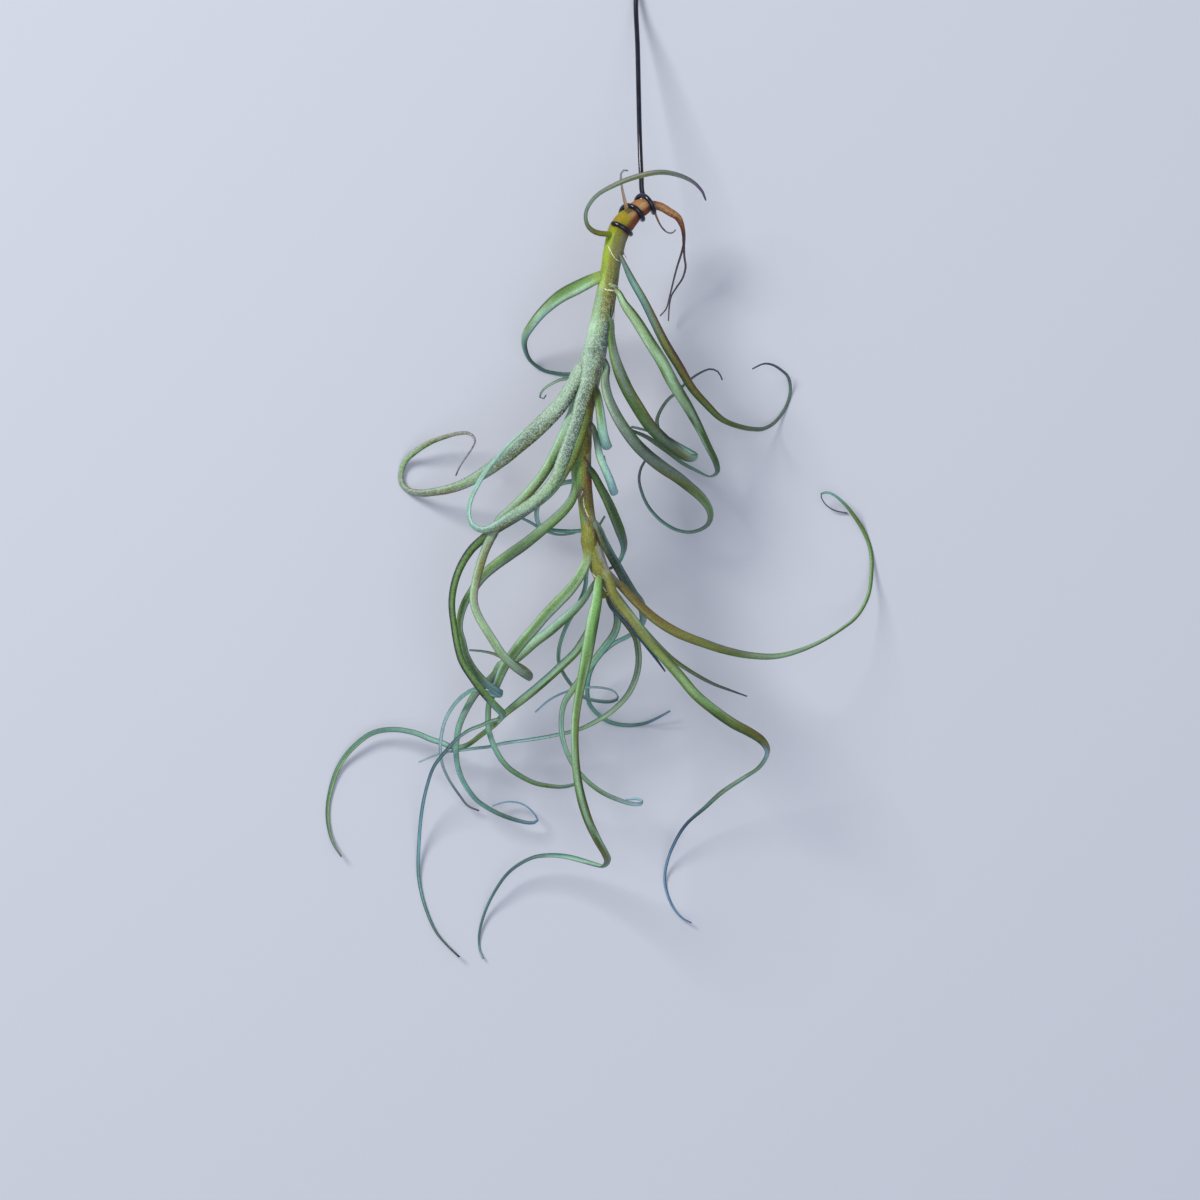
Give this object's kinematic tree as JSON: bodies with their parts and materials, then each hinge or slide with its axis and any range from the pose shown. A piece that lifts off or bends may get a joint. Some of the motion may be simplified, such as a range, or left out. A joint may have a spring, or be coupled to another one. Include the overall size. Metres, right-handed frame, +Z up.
{
  "type": "wonga air plant",
  "caption": "Air plant lying on its own curled leaves: sheathed stem, long silvery channelled leaves with thread-like tips, dry root, and a coated wire hanger wound on its foot.",
  "frame": {"origin": "centre of the footprint, on the surface that the plant lies on", "axes": "+Z up, +Y along the stem towards the root and the wire's hook, -Y towards the growing tip, +X to the right seen from above with the root end at the top"},
  "size_m": [0.2228, 0.4048, 0.0896],
  "materials": {
    "leaf_green": "matt, lightly scurfed leaf, bright yellow-green with a paler edge",
    "leaf_silver": "matt leaf under dense silvery scales, grey-green to mint",
    "leaf_olive": "matt leaf, olive to brown, with a silvery bloom",
    "leaf_dark": "smooth leaf, dark green to blue-grey",
    "sheath": "stem wrapped in leaf bases, olive to brown with papery rims",
    "dry_leaf": "dead, dry and papery, tan to grey",
    "root": "dry, wiry root, orange-brown with dark fibres",
    "wire_coating": "smooth black coating on wire"
  },
  "bodies": {
    "root": {"leaf_01": "leaf_olive", "leaf_02": "leaf_silver", "leaf_03": "leaf_silver", "leaf_04": "leaf_silver", "leaf_05": "leaf_green", "leaf_06": "leaf_silver", "leaf_07": "leaf_silver", "leaf_08": "leaf_silver", "leaf_09": "leaf_green", "leaf_10": "leaf_olive", "leaf_11": "leaf_olive", "leaf_12": "leaf_green", "leaf_13": "leaf_silver", "leaf_14": "leaf_dark", "leaf_15": "leaf_green", "leaf_16": "leaf_dark", "leaf_17": "leaf_dark", "leaf_18": "leaf_green", "leaf_19": "leaf_green", "leaf_20": "leaf_dark", "leaf_21": "leaf_green", "leaf_22": "leaf_green", "leaf_23": "leaf_olive", "leaf_24": "leaf_olive", "leaf_25": "leaf_dark", "leaf_26": "leaf_olive", "leaf_27": "leaf_silver", "leaf_28": "leaf_green", "dry_leaf": "dry_leaf", "root": "root", "stem": "sheath", "wire_hanger": "wire_coating"}
  },
  "joints": []
}
